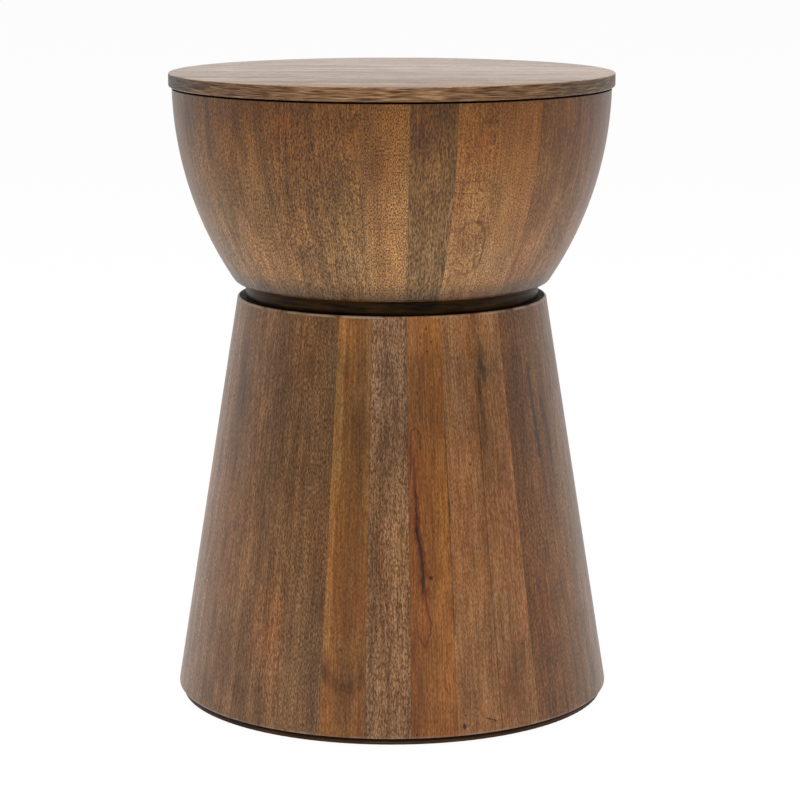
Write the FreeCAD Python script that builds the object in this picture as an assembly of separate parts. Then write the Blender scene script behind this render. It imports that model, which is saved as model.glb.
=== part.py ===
import FreeCAD, Part
import math
import os

from FreeCAD import Vector

# Drum side table in millimetres: a staved bowl on a staved cone, under a round top.
# The origin is on the floor under the middle, +Z is up, and the front faces -Y.

# Round top of edge-glued boards
top_radius = 203.0
top_thickness = 12.5
top_upper_ease = 1.0
top_lower_ease = 2.5
board_count = 6
board_turn = 2.5

# Bowl of staves, curved outside and left flat inside
top_overhang = 3.0
bowl_height = 179.0
bowl_bulge_radius = 326.0
bowl_flare = 8.5
bowl_lower_round = 13.0
bowl_upper_ease = 1.0
bowl_wall = 16.0
bowl_first_joint = 4.4
bowl_floor_thickness = 18.0

# Recessed neck between the bowl and the base
neck_radius = 134.5
neck_height = 12.5
neck_ease = 0.8

# Base of staves, a cone outside and flat planks inside
rim_ledge = 7.5
rim_ease = 1.5
base_radius = 200.5
base_height = 366.0
base_lower_round = 3.0
base_wall = 20.0
base_first_joint = 5.0
base_head_thickness = 18.0

# Staves of the bowl and of the base
stave_count = 30
glue_gap = 0.1

# Recessed ring under the base
foot_height = 6.0
foot_setback = 4.5
foot_width = 44.0
foot_ease = 0.8

# Felt glides let into the ring
glide_radius = 10.0
glide_thickness = 3.0
glide_proud = 1.0
glide_margin = 3.0
glide_every = 6

# Dowels between the top and the bowl's staves
dowel_radius = 4.0
dowel_in_top = 8.0
dowel_in_stave = 20.0
dowel_ease = 0.8
dowel_end_room = 0.8
dowel_every = 3

# Pan-head screws that draw the base and the bowl together through the neck
neck_screw_radius = 2.5
neck_screw_head_radius = 5.0
neck_screw_head_height = 3.5
neck_screw_head_round = 1.5
neck_screw_bite = 14.0
neck_screw_inset = 44.5
neck_screw_count = 6

# Countersunk screws that hold the ring to the ends of the staves
foot_screw_radius = 2.0
foot_screw_head_radius = 4.0
foot_screw_bite = 24.0
foot_screw_every = 3

# Screws of both kinds
screw_tip = 4.0
screw_pass_room = 0.3
screw_pilot_room = 0.05
recess_width = 1.0
recess_length = 4.4
recess_depth = 1.8

# Levels and radii that follow from the sizes above
base_bottom = glide_proud + foot_height
base_top = base_bottom + base_height
neck_top = base_top + neck_height
bowl_top = neck_top + bowl_height
table_top = bowl_top + top_thickness
rim_radius = neck_radius + rim_ledge
mouth_radius = top_radius - top_overhang
waist_radius = neck_radius + bowl_flare
foot_radius = base_radius - foot_setback
head_bottom = base_top - base_head_thickness
floor_top = neck_top + bowl_floor_thickness
stave_angle = 360.0 / stave_count
neck_screw_circle = neck_radius - neck_screw_inset
neck_screw_length = base_head_thickness + neck_height + neck_screw_bite
foot_screw_length = foot_height + foot_screw_bite

# Flat inner faces of the staves, at the middle of each stave
base_slope = math.atan2(base_radius - rim_radius, base_height)
base_wall_across = base_wall / math.cos(base_slope)
base_inner_low = Vector(base_radius - base_wall_across, 0, base_bottom)
base_inner_high = Vector(rim_radius - base_wall_across, 0, base_top)
bowl_inner_low = Vector(waist_radius - bowl_wall, 0, neck_top)
bowl_inner_high = Vector(mouth_radius - bowl_wall, 0, bowl_top)

middle = Vector(0, 0, 0)
up = Vector(0, 0, 1)


def radius_between(low, high, height):
    share = (height - low.z) / (high.z - low.z)
    return low.x + share * (high.x - low.x)


def placed(shape, angle):
    # Turns a copy from +X to an angle counted from the front towards +X
    copy = shape.copy()
    copy.rotate(middle, up, angle - 90.0)
    return copy


def stave_middle(first_joint, index):
    return first_joint + (index + 0.5) * stave_angle


def rounded(before, corner, after, radius):
    back = (before - corner).normalize()
    ahead = (after - corner).normalize()
    half_turn = back.getAngle(ahead) / 2
    reach = radius / math.tan(half_turn)
    inward = (back + ahead).normalize()
    centre = corner + inward * (radius / math.sin(half_turn))
    return corner + back * reach, centre - inward * radius, corner + ahead * reach


def section(corners):
    # Face in the XZ plane through corners given as radius, height and rounding
    points = [Vector(radius, 0, height) for radius, height, rounding in corners]
    starts = []
    ends = []
    arcs = []
    for index, (radius, height, rounding) in enumerate(corners):
        start = end = points[index]
        if rounding > 0:
            after = points[(index + 1) % len(points)]
            start, crown, end = rounded(points[index - 1], points[index], after, rounding)
            arcs.append(Part.Arc(start, crown, end).toShape())
        starts.append(start)
        ends.append(end)
    sides = [Part.makeLine(ends[index - 1], start) for index, start in enumerate(starts)]
    return Part.Face(Part.Wire(Part.__sortEdges__(sides + arcs)))


def turned(corners):
    return section(corners).revolve(middle, up, 360.0)


def rod(radius, length, place):
    return Part.makeCylinder(radius, length, place, up)


def on_circle(radius, height):
    return Vector(radius, 0, height)


def stave(outline, inner_low, inner_high):
    # One slice of a turned form, cut flat on its inner side
    reach = 2 * max(inner_low.x, inner_high.x)
    slice_face = outline.copy()
    slice_face.rotate(middle, up, -stave_angle / 2)
    wedge = slice_face.revolve(middle, up, stave_angle)
    outer_low = Vector(reach, 0, inner_low.z)
    outer_high = Vector(reach, 0, inner_high.z)
    side = Part.Face(Part.makePolygon([inner_low, outer_low, outer_high, inner_high, inner_low]))
    side.translate(Vector(0, -reach / 2, 0))
    plank = side.extrude(Vector(0, reach, 0))
    return wedge.common(plank).Solids[0]


def many_sided_plate(inner_low, inner_high, bottom, top, first_joint):
    # Plate whose edge lies against the flat inner faces of all the staves
    wires = []
    for height in (bottom, top):
        apothem = radius_between(inner_low, inner_high, height) - glue_gap
        corner_radius = apothem / math.cos(math.radians(stave_angle / 2))
        corner = Part.Vertex(on_circle(corner_radius, height))
        joints = [first_joint + index * stave_angle for index in range(stave_count)]
        corners = [placed(corner, joint).Point for joint in joints]
        wires.append(Part.makePolygon(corners + corners[:1]))
    return Part.makeLoft(wires, True, True)


def cross_recess(height):
    bar = Part.makeBox(recess_length, recess_width, recess_depth)
    bar.translate(Vector(-recess_length / 2, -recess_width / 2, height))
    other = bar.copy()
    other.rotate(middle, up, 90.0)
    return bar.fuse(other)


def bowl_section():
    # The outer arc passes through the mouth and the waist and rounds into the bottom
    mouth = Vector(mouth_radius, 0, bowl_top)
    waist = Vector(waist_radius, 0, neck_top)
    chord = mouth - waist
    inward = Vector(-chord.z, 0, chord.x).normalize()
    rise = math.sqrt(bowl_bulge_radius ** 2 - (chord.Length / 2) ** 2)
    centre = (mouth + waist) * 0.5 + inward * rise
    round_height = neck_top + bowl_lower_round
    round_reach = bowl_bulge_radius - bowl_lower_round
    round_offset = math.sqrt(round_reach ** 2 - (round_height - centre.z) ** 2)
    round_centre = Vector(centre.x + round_offset, 0, round_height)
    outward = (round_centre - centre).normalize()
    arc_low = centre + outward * bowl_bulge_radius
    ease_height = bowl_top - bowl_upper_ease
    ease_offset = math.sqrt(bowl_bulge_radius ** 2 - (ease_height - centre.z) ** 2)
    arc_high = Vector(centre.x + ease_offset, 0, ease_height)
    bulge = ((arc_low + arc_high) * 0.5 - centre).normalize()
    flat_end = Vector(round_centre.x, 0, neck_top)
    crown = round_centre + (outward - up).normalize() * bowl_lower_round
    ease_end = Vector(mouth_radius - bowl_upper_ease, 0, bowl_top)
    axis_high = Vector(0, 0, bowl_top)
    axis_low = Vector(0, 0, neck_top)
    return Part.Face(Part.Wire([
        Part.makeLine(axis_low, flat_end),
        Part.Arc(flat_end, crown, arc_low).toShape(),
        Part.Arc(arc_low, centre + bulge * bowl_bulge_radius, arc_high).toShape(),
        Part.makeLine(arc_high, ease_end),
        Part.makeLine(ease_end, axis_high),
        Part.makeLine(axis_high, axis_low),
    ]))


def base_section():
    return section([
        (0, base_bottom, 0),
        (base_radius, base_bottom, base_lower_round),
        (rim_radius, base_top, rim_ease),
        (0, base_top, 0),
    ])


def dowel_holes():
    radius = dowel_radius + glue_gap
    bottom = bowl_top - dowel_in_stave - dowel_end_room
    length = dowel_in_stave + dowel_in_top + 2 * dowel_end_room
    hole = rod(radius, length, on_circle(mouth_radius - bowl_wall / 2, bottom))
    middles = [stave_middle(bowl_first_joint, index) for index in range(0, stave_count, dowel_every)]
    return [placed(hole, angle) for angle in middles]


def top_dowels():
    bottom = bowl_top - dowel_in_stave
    end = bowl_top + dowel_in_top
    dowel = turned([
        (0, bottom, 0),
        (dowel_radius, bottom, dowel_ease),
        (dowel_radius, end, dowel_ease),
        (0, end, 0),
    ])
    dowel.translate(on_circle(mouth_radius - bowl_wall / 2, 0))
    middles = [stave_middle(bowl_first_joint, index) for index in range(0, stave_count, dowel_every)]
    return [placed(dowel, angle) for angle in middles]


def top_boards():
    disc = turned([
        (0, bowl_top, 0),
        (top_radius - top_lower_ease, bowl_top, 0),
        (top_radius, bowl_top + top_lower_ease, 0),
        (top_radius, table_top - top_upper_ease, 0),
        (top_radius - top_upper_ease, table_top, 0),
        (0, table_top, 0),
    ])
    holes = dowel_holes()
    width = 2 * top_radius / board_count
    boards = []
    for index in range(board_count):
        strip = Part.makeBox(2 * top_radius, width, top_thickness)
        strip.translate(Vector(-top_radius, index * width - top_radius, bowl_top))
        strip.rotate(middle, up, -board_turn)
        boards.append(disc.common(strip).cut(holes).Solids[0])
    return boards


def bowl_staves():
    blank = stave(bowl_section(), bowl_inner_low, bowl_inner_high)
    staves = []
    for index in range(stave_count):
        piece = placed(blank, stave_middle(bowl_first_joint, index))
        if index % dowel_every == 0:
            piece = piece.cut(dowel_holes()[index // dowel_every]).Solids[0]
        staves.append(piece)
    return staves


def neck_screw_places():
    turn = 360.0 / neck_screw_count
    return [index * turn for index in range(neck_screw_count)]


def neck_screw_holes(radius, bottom, length):
    hole = rod(radius, length, on_circle(neck_screw_circle, bottom))
    return [placed(hole, angle) for angle in neck_screw_places()]


def neck_screws():
    screw = turned([
        (0, -neck_screw_head_height, 0),
        (neck_screw_head_radius, -neck_screw_head_height, neck_screw_head_round),
        (neck_screw_head_radius, 0, 0),
        (neck_screw_radius, 0, 0),
        (neck_screw_radius, neck_screw_length - screw_tip, 0),
        (0, neck_screw_length, 0),
    ])
    screw = screw.cut(cross_recess(-neck_screw_head_height))
    screw.translate(on_circle(neck_screw_circle, head_bottom))
    return [placed(screw, angle) for angle in neck_screw_places()]


def bowl_floor():
    plate = many_sided_plate(bowl_inner_low, bowl_inner_high, neck_top, floor_top, bowl_first_joint)
    return plate.cut(neck_screw_holes(neck_screw_radius + screw_pilot_room, neck_top, neck_screw_bite))


def neck_disc():
    disc = turned([
        (0, base_top, 0),
        (neck_radius, base_top, neck_ease),
        (neck_radius, neck_top, neck_ease),
        (0, neck_top, 0),
    ])
    return disc.cut(neck_screw_holes(neck_screw_radius + screw_pass_room, base_top, neck_height))


def base_head():
    plate = many_sided_plate(base_inner_low, base_inner_high, head_bottom, base_top, base_first_joint)
    radius = neck_screw_radius + screw_pass_room
    return plate.cut(neck_screw_holes(radius, head_bottom, base_head_thickness))


def foot_screw_circle():
    # Middle of the wall at half the depth that the screw reaches into the stave
    half_bite = base_bottom + foot_screw_bite / 2
    return radius_between(base_inner_low, base_inner_high, half_bite) + base_wall_across / 2


def foot_screw(room):
    radius = foot_screw_radius + room
    head_radius = foot_screw_head_radius + room
    screw = turned([
        (0, glide_proud, 0),
        (head_radius, glide_proud, 0),
        (radius, glide_proud + head_radius - radius, 0),
        (radius, glide_proud + foot_screw_length - screw_tip, 0),
        (0, glide_proud + foot_screw_length, 0),
    ])
    screw.translate(on_circle(foot_screw_circle(), 0))
    return screw


def foot_screw_places():
    indices = range(0, stave_count, foot_screw_every)
    return [stave_middle(base_first_joint, index) for index in indices]


def foot_screws():
    recess = cross_recess(glide_proud)
    recess.translate(on_circle(foot_screw_circle(), 0))
    screw = foot_screw(0).cut(recess)
    return [placed(screw, angle) for angle in foot_screw_places()]


def base_staves():
    blank = stave(base_section(), base_inner_low, base_inner_high)
    drilled = blank.cut(foot_screw(screw_pilot_room)).Solids[0]
    staves = []
    for index in range(stave_count):
        piece = drilled if index % foot_screw_every == 0 else blank
        staves.append(placed(piece, stave_middle(base_first_joint, index)))
    return staves


def glides_at(height):
    # Each glide lies under a stave joint halfway between two screws
    circle = foot_radius - glide_margin - glide_radius
    glide = rod(glide_radius, glide_thickness, on_circle(circle, height))
    step = foot_screw_every * stave_angle / 2
    starts = [stave_middle(base_first_joint, index) for index in range(0, stave_count, glide_every)]
    return [placed(glide, start + step) for start in starts]


def foot_ring():
    ring = turned([
        (foot_radius - foot_width, glide_proud, 0),
        (foot_radius, glide_proud, foot_ease),
        (foot_radius, base_bottom, 0),
        (foot_radius - foot_width, base_bottom, 0),
    ])
    holes = [placed(foot_screw(screw_pass_room), angle) for angle in foot_screw_places()]
    return ring.cut(holes + glides_at(0))


def save(name, *solids):
    shape = solids[0] if len(solids) == 1 else Part.makeCompound(list(solids))
    if not shape.isValid():
        raise ValueError(name + " is not a valid shape")
    shape.exportStep("parts/" + name + ".step")


def main():
    os.makedirs("parts", exist_ok=True)
    for index, board in enumerate(top_boards(), start=1):
        save(f"top_board_{index}", board)
    save("top_dowels", *top_dowels())
    bowl = bowl_staves()
    for index in range(0, stave_count, 2):
        save(f"bowl_stave_pair_{index // 2 + 1:02d}", *bowl[index:index + 2])
    save("bowl_floor", bowl_floor())
    save("neck_disc", neck_disc())
    save("neck_screws", *neck_screws())
    save("base_head", base_head())
    for index, piece in enumerate(base_staves(), start=1):
        save(f"base_stave_{index:02d}", piece)
    save("foot_ring", foot_ring())
    save("foot_screws", *foot_screws())
    save("felt_glides", *glides_at(0))


main()
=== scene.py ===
import math

import bmesh
import bpy
from mathutils import Matrix, Vector


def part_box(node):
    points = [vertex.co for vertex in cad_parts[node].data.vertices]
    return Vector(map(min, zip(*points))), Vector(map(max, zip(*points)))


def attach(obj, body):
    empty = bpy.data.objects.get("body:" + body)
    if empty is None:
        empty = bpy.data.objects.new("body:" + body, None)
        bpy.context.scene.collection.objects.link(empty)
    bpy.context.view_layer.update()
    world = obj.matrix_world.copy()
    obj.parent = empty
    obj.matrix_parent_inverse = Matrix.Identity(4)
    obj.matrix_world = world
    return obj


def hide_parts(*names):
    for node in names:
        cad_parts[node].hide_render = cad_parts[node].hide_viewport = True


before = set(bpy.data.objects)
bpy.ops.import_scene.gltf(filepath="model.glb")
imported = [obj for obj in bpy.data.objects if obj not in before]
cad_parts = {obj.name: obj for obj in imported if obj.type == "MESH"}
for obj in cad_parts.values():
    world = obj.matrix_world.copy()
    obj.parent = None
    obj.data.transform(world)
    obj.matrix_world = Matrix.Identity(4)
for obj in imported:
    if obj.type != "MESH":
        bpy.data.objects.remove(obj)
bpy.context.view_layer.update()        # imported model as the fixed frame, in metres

touch = 0.00001          # metres within which two places count as one


# picking, editing and finishing a mesh

def clearSelection():
    if bpy.context.object and bpy.context.object.mode != "OBJECT":
        bpy.ops.object.mode_set(mode="OBJECT")
    bpy.ops.object.select_all(action="DESELECT")


def takeActive(name):
    piece = bpy.context.object
    piece.name = name
    piece.data.name = name
    return piece


def openMesh(piece, kind="VERT"):
    clearSelection()
    bpy.context.view_layer.objects.active = piece
    piece.select_set(True)
    bpy.ops.object.mode_set(mode="EDIT")
    bpy.ops.mesh.select_mode(type=kind)
    bpy.ops.mesh.select_all(action="DESELECT")


def closeMesh():
    bpy.ops.object.mode_set(mode="OBJECT")


def pickVerts(piece, test):
    mesh = bmesh.from_edit_mesh(piece.data)
    for vert in mesh.verts:
        vert.select_set(bool(test(vert.co)))
    mesh.select_flush_mode()
    bmesh.update_edit_mesh(piece.data)


def pickEdges(piece, test):
    mesh = bmesh.from_edit_mesh(piece.data)
    for edge in mesh.edges:
        edge.select_set(all(test(vert.co) for vert in edge.verts))
    bmesh.update_edit_mesh(piece.data)


def tidyMesh(piece, smoothAngle=32.0, weld=0.000002):
    openMesh(piece)
    bpy.ops.mesh.select_all(action="SELECT")
    bpy.ops.mesh.remove_doubles(threshold=weld)
    bpy.ops.mesh.normals_make_consistent(inside=False)
    closeMesh()
    bpy.ops.object.shade_smooth_by_angle(angle=math.radians(smoothAngle))


def sectionFace(name, corners):
    # flat outline in the XZ plane: one corner of the wall for each vertex of a circle
    clearSelection()
    bpy.ops.mesh.primitive_circle_add(vertices=len(corners), radius=0.1, fill_type="NGON")
    piece = takeActive(name)
    for vert, (radius, height) in zip(piece.data.vertices, corners):
        vert.co = (radius, 0.0, height)
    return piece


def roundCorner(piece, corner, reach, segments=4):
    openMesh(piece)
    target = Vector((corner[0], 0.0, corner[1]))
    pickVerts(piece, lambda place: (place - target).length < touch)
    bpy.ops.mesh.bevel(offset=reach, segments=segments, affect="VERTICES")
    closeMesh()


def spinWedge(piece, degrees, steps):
    # swing the outline round the table's axis, half of the turn to each side of +X
    piece.data.transform(Matrix.Rotation(-math.radians(degrees) / 2, 4, "Z"))
    openMesh(piece, "FACE")
    bpy.ops.mesh.select_all(action="SELECT")
    bpy.ops.mesh.spin(steps=steps, angle=math.radians(degrees), center=(0, 0, 0), axis=(0, 0, 1))
    closeMesh()
    reach = [math.atan2(vert.co.y, vert.co.x) for vert in piece.data.vertices]
    if min(reach) < -math.radians(degrees):      # spun the other way round
        piece.data.transform(Matrix.Rotation(math.radians(degrees), 4, "Z"))


def planeInside(piece, low, high):
    # saw the inner side flat along a line from low to high
    along = Vector((high[0] - low[0], 0.0, high[1] - low[1]))
    normal = Vector((along.z, 0.0, -along.x))
    openMesh(piece)
    bpy.ops.mesh.select_all(action="SELECT")
    bpy.ops.mesh.bisect(plane_co=(low[0], 0.0, low[1]), plane_no=normal, use_fill=True, clear_inner=True)
    closeMesh()


def layGrain(piece, halfTurn, alongGrain):
    # grain map in metres, across from the middle of the stave and along it, and the share of the width
    data = piece.data
    grain = data.uv_layers.new(name="grain")
    across = data.attributes.new("across", "FLOAT", "POINT")
    for vert in data.vertices:
        across.data[vert.index].value = math.atan2(vert.co.y, vert.co.x) / halfTurn
    for loop in data.loops:
        place = data.vertices[loop.vertex_index].co
        radius = math.hypot(place.x, place.y)
        grain.data[loop.index].uv = (math.atan2(place.y, place.x) * radius, alongGrain(radius, place.z))


def copyPiece(blank, name):
    # a copy with its own mesh
    piece = blank.copy()
    piece.data = blank.data.copy()
    piece.name = name
    piece.data.name = name
    bpy.context.scene.collection.objects.link(piece)
    return piece


def placeCopy(blank, name, angle):
    # a copy turned to an angle counted from the front towards +X
    piece = copyPiece(blank, name)
    piece.data.transform(Matrix.Rotation(math.radians(angle - 90.0), 4, "Z"))
    return piece


def discard(piece):
    mesh = piece.data
    bpy.data.objects.remove(piece)
    bpy.data.meshes.remove(mesh)


def turnDisc(name, plan, node, offset=0.0):
    # a disc as high as its node, its middle set off along +X
    low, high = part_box(node)
    bottom, top = low[2], high[2]
    clearSelection()
    bpy.ops.mesh.primitive_cylinder_add(vertices=plan["sides"], radius=plan["radius"], depth=top - bottom,
                                        location=(offset, 0, (top + bottom) / 2))
    bpy.ops.object.transform_apply(location=True, rotation=False, scale=False)
    return takeActive(name), bottom, top


def easeEdge(piece, level, reach, segments):
    # round the sharp edge at one height
    openMesh(piece, "EDGE")
    pickEdges(piece, lambda place: abs(place.z - level) < touch)
    bpy.ops.mesh.bevel(offset=reach, segments=segments, affect="EDGES")
    closeMesh()


# wiring of material nodes

def newMaterial(name):
    material = bpy.data.materials.new(name)
    material.use_nodes = True
    tree = material.node_tree
    shader = tree.nodes["Principled BSDF"]
    return material, tree, shader


def feed(tree, socket, value):
    if isinstance(value, bpy.types.NodeSocket):
        tree.links.new(value, socket)
    else:
        socket.default_value = value


def calc(tree, operation, first, second=0.0, clamp=False):
    node = tree.nodes.new("ShaderNodeMath")
    node.operation = operation
    node.use_clamp = clamp
    feed(tree, node.inputs[0], first)
    feed(tree, node.inputs[1], second)
    return node.outputs[0]


def vectorCalc(tree, operation, first, second):
    node = tree.nodes.new("ShaderNodeVectorMath")
    node.operation = operation
    feed(tree, node.inputs[0], first)
    feed(tree, node.inputs[1], second)
    return node.outputs["Value"] if operation in ("LENGTH", "DOT_PRODUCT") else node.outputs[0]


def between(tree, value, low, high, start=0.0, end=1.0):
    node = tree.nodes.new("ShaderNodeMapRange")
    node.interpolation_type = "SMOOTHSTEP"
    feed(tree, node.inputs["Value"], value)
    feed(tree, node.inputs["From Min"], low)
    feed(tree, node.inputs["From Max"], high)
    feed(tree, node.inputs["To Min"], start)
    feed(tree, node.inputs["To Max"], end)
    return node.outputs["Result"]


def blend(tree, share, first, second, kind="MIX"):
    node = tree.nodes.new("ShaderNodeMix")
    node.data_type = "RGBA"
    node.blend_type = kind
    feed(tree, node.inputs["Factor"], share)
    feed(tree, node.inputs["A"], first)
    feed(tree, node.inputs["B"], second)
    return node.outputs["Result"]


def cloudNoise(tree, place, stretch, detail=2.0, roughness=0.5):
    node = tree.nodes.new("ShaderNodeTexNoise")
    node.inputs["Scale"].default_value = 1.0
    node.inputs["Detail"].default_value = detail
    node.inputs["Roughness"].default_value = roughness
    feed(tree, node.inputs["Vector"], vectorCalc(tree, "MULTIPLY", place, stretch))
    return node.outputs["Fac"]


def newGroup(name, inputs, outputs):
    tree = bpy.data.node_groups.new(name, "ShaderNodeTree")
    for label, kind in inputs:
        tree.interface.new_socket(name=label, in_out="INPUT", socket_type="NodeSocket" + kind)
    for label, kind in outputs:
        tree.interface.new_socket(name=label, in_out="OUTPUT", socket_type="NodeSocket" + kind)
    return tree, tree.nodes.new("NodeGroupInput").outputs, tree.nodes.new("NodeGroupOutput").inputs


def useGroup(tree, group, **values):
    node = tree.nodes.new("ShaderNodeGroup")
    node.node_tree = group
    for label, value in values.items():
        feed(tree, node.inputs[label], value)
    return node.outputs


def objectPlace(tree):
    return tree.nodes.new("ShaderNodeTexCoord").outputs["Object"]


def axisValue(tree, place, axis):
    node = tree.nodes.new("ShaderNodeSeparateXYZ")
    feed(tree, node.inputs[0], place)
    return node.outputs[axis]


def attributeValue(tree, name):
    node = tree.nodes.new("ShaderNodeAttribute")
    node.attribute_name = name
    return node.outputs["Fac"]


def addRelief(tree, shader, height, strength, distance):
    node = tree.nodes.new("ShaderNodeBump")
    node.inputs["Strength"].default_value = strength
    node.inputs["Distance"].default_value = distance
    feed(tree, node.inputs["Height"], height)
    feed(tree, shader.inputs["Normal"], node.outputs["Normal"])


def buildGrainGroup():
    # figure of flat-sawn timber on a grain map in metres, across and along, shifted to set boards apart
    tree, given, result = newGroup(
        "timberFigure", [("Place", "Vector"), ("Wander", "Float"), ("Dash", "Float")],
        [("Streak", "Float"), ("Fine", "Float"), ("Fleck", "Float"), ("Pores", "Float"), ("Cloud", "Float"),
         ("Ripple", "Float"), ("Drift", "Float")])
    broad = calc(tree, "SUBTRACT", cloudNoise(tree, given["Place"], (9.0, 5.0, 1.0), 2.0), 0.5)
    close = calc(tree, "SUBTRACT", cloudNoise(tree, given["Place"], (48.0, 26.0, 1.0), 2.0), 0.5)
    sway = calc(tree, "ADD", broad, calc(tree, "MULTIPLY", close, 0.35))
    shift = tree.nodes.new("ShaderNodeCombineXYZ")
    feed(tree, shift.inputs["X"], calc(tree, "MULTIPLY", sway, given["Wander"]))
    bent = vectorCalc(tree, "ADD", given["Place"], shift.outputs[0])
    feed(tree, result["Streak"], cloudNoise(tree, bent, (85.0, 2.6, 1.0), 4.0, 0.6))
    feed(tree, result["Fine"], cloudNoise(tree, bent, (850.0, 30.0, 1.0), 2.0, 0.6))
    dashes = tree.nodes.new("ShaderNodeCombineXYZ")
    dashes.inputs["X"].default_value = 1250.0
    feed(tree, dashes.inputs["Y"], given["Dash"])
    dashes.inputs["Z"].default_value = 1.0
    feed(tree, result["Fleck"], cloudNoise(tree, bent, dashes.outputs[0], 1.0, 0.5))
    pores = cloudNoise(tree, bent, (950.0, 230.0, 1.0), 1.0)
    crowd = cloudNoise(tree, bent, (45.0, 20.0, 1.0), 2.0)
    level = between(tree, crowd, 0.3, 0.7, 0.72, 0.56)
    feed(tree, result["Pores"], between(tree, pores, level, calc(tree, "ADD", level, 0.12)))
    feed(tree, result["Cloud"], cloudNoise(tree, bent, (34.0, 15.0, 1.0), 3.0, 0.55))
    feed(tree, result["Ripple"], cloudNoise(tree, bent, (24.0, 330.0, 1.0), 2.0))
    feed(tree, result["Drift"], cloudNoise(tree, given["Place"], (30.0, 8.0, 1.0), 2.0))
    return tree


def buildSpotGroup():
    # distance from the middle of an oval on the grain map, 1 at its edge
    tree, given, result = newGroup(
        "ovalMark", [("Place", "Vector"), ("Centre", "Vector"), ("Size", "Vector"), ("Ragged", "Float")],
        [("Distance", "Float")])
    offset = vectorCalc(tree, "SUBTRACT", given["Place"], given["Centre"])
    rag = cloudNoise(tree, given["Place"], (220.0, 90.0, 1.0), 3.0)
    reach = vectorCalc(tree, "LENGTH", vectorCalc(tree, "DIVIDE", offset, given["Size"]), (0.0, 0.0, 0.0))
    sway = calc(tree, "MULTIPLY", calc(tree, "SUBTRACT", rag, 0.5), given["Ragged"])
    feed(tree, result["Distance"], calc(tree, "ADD", reach, sway))
    return tree


def buildLineGroup():
    # distance in metres from a stroke on the grain map
    tree, given, result = newGroup(
        "drawnLine", [("Place", "Vector"), ("From", "Vector"), ("To", "Vector")], [("Distance", "Float")])
    along = vectorCalc(tree, "SUBTRACT", given["To"], given["From"])
    reach = vectorCalc(tree, "SUBTRACT", given["Place"], given["From"])
    share = calc(tree, "DIVIDE", vectorCalc(tree, "DOT_PRODUCT", reach, along),
                 vectorCalc(tree, "DOT_PRODUCT", along, along), clamp=True)
    foot = tree.nodes.new("ShaderNodeVectorMath")
    foot.operation = "SCALE"
    feed(tree, foot.inputs[0], along)
    feed(tree, foot.inputs["Scale"], share)
    gap = vectorCalc(tree, "LENGTH", vectorCalc(tree, "SUBTRACT", reach, foot.outputs[0]), (0.0, 0.0, 0.0))
    rag = cloudNoise(tree, given["Place"], (260.0, 130.0, 1.0), 2.0)
    feed(tree, result["Distance"], calc(tree, "MULTIPLY", gap, between(tree, rag, 0.25, 0.75, 0.55, 1.7)))
    return tree


def buildGlintWearGroup():
    # broken pale line along a turned edge: painted highlight on the rounding, and rubbed finish
    tree, given, result = newGroup(
        "glintWearEdge", [("Height", "Float"), ("Edge", "Float"), ("Width", "Float")], [("GlintWear", "Float")])
    gap = calc(tree, "ABSOLUTE", calc(tree, "SUBTRACT", given["Height"], given["Edge"]))
    line = between(tree, gap, given["Width"], calc(tree, "MULTIPLY", given["Width"], 0.4))
    broken = between(tree, cloudNoise(tree, objectPlace(tree), (60.0, 60.0, 60.0), 3.0), 0.36, 0.6)
    feed(tree, result["GlintWear"], calc(tree, "MULTIPLY", line, broken))
    return tree


timberFigure = buildGrainGroup()
ovalMark = buildSpotGroup()
drawnLine = buildLineGroup()
glintWearEdge = buildGlintWearGroup()
print("shader groups ready")


# light and dark of each timber, depth and closeness of its flecks, depth of its fine lines
timberTones = {
    "honey": ((0.302, 0.127, 0.0300), (0.156, 0.058, 0.0126), 0.32, 260.0, 0.30),
    "amber": ((0.250, 0.113, 0.0290), (0.140, 0.0590, 0.0146), 0.34, 340.0, 0.20),
    "tan": ((0.328, 0.168, 0.074), (0.185, 0.086, 0.036), 0.35, 320.0, 0.24),
    "wheat": ((0.288, 0.142, 0.061), (0.160, 0.074, 0.030), 0.36, 320.0, 0.24),
    "fawn": ((0.272, 0.132, 0.053), (0.150, 0.068, 0.0255), 0.52, 340.0, 0.26),
    "brown": ((0.246, 0.123, 0.048), (0.124, 0.058, 0.0205), 0.52, 320.0, 0.28),
    "ash": ((0.302, 0.153, 0.064), (0.158, 0.074, 0.028), 0.62, 360.0, 0.30),
    "dusk": ((0.245, 0.108, 0.028), (0.116, 0.047, 0.0115), 0.58, 320.0, 0.28),
    "umber": ((0.238, 0.121, 0.048), (0.124, 0.058, 0.0215), 0.58, 300.0, 0.28),
    "plum": ((0.224, 0.093, 0.0255), (0.112, 0.0435, 0.0108), 0.54, 300.0, 0.34),
    "orange": ((0.336, 0.168, 0.060), (0.197, 0.088, 0.029), 0.58, 560.0, 0.20),
    "copper": ((0.336, 0.166, 0.054), (0.198, 0.087, 0.0262), 0.80, 520.0, 0.20),
    "olive": ((0.216, 0.112, 0.040), (0.117, 0.0575, 0.0185), 0.64, 280.0, 0.30),
    "stipple": ((0.266, 0.128, 0.039), (0.130, 0.0575, 0.0156), 0.70, 400.0, 0.26),
    "walnut": ((0.268, 0.160, 0.068), (0.138, 0.080, 0.032), 0.35, 160.0, 0.38),
    "husk": ((0.222, 0.131, 0.056), (0.112, 0.064, 0.026), 0.35, 160.0, 0.38),
    "bark": ((0.250, 0.138, 0.054), (0.126, 0.066, 0.025), 0.35, 160.0, 0.38),
    "layered": ((0.275, 0.149, 0.053), (0.105, 0.052, 0.018), 0.58, 40.0, 0.75),
}
fibreTint = (1.0, 1.20, 1.70)    # pale fibres are greyer than the wood, dark ones redder
paleFleck = (0.92, 1.15, 1.90)
darkFleck = (1.30, 0.88, 0.15)
lacquerRoughness = 0.30          # satin
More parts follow.
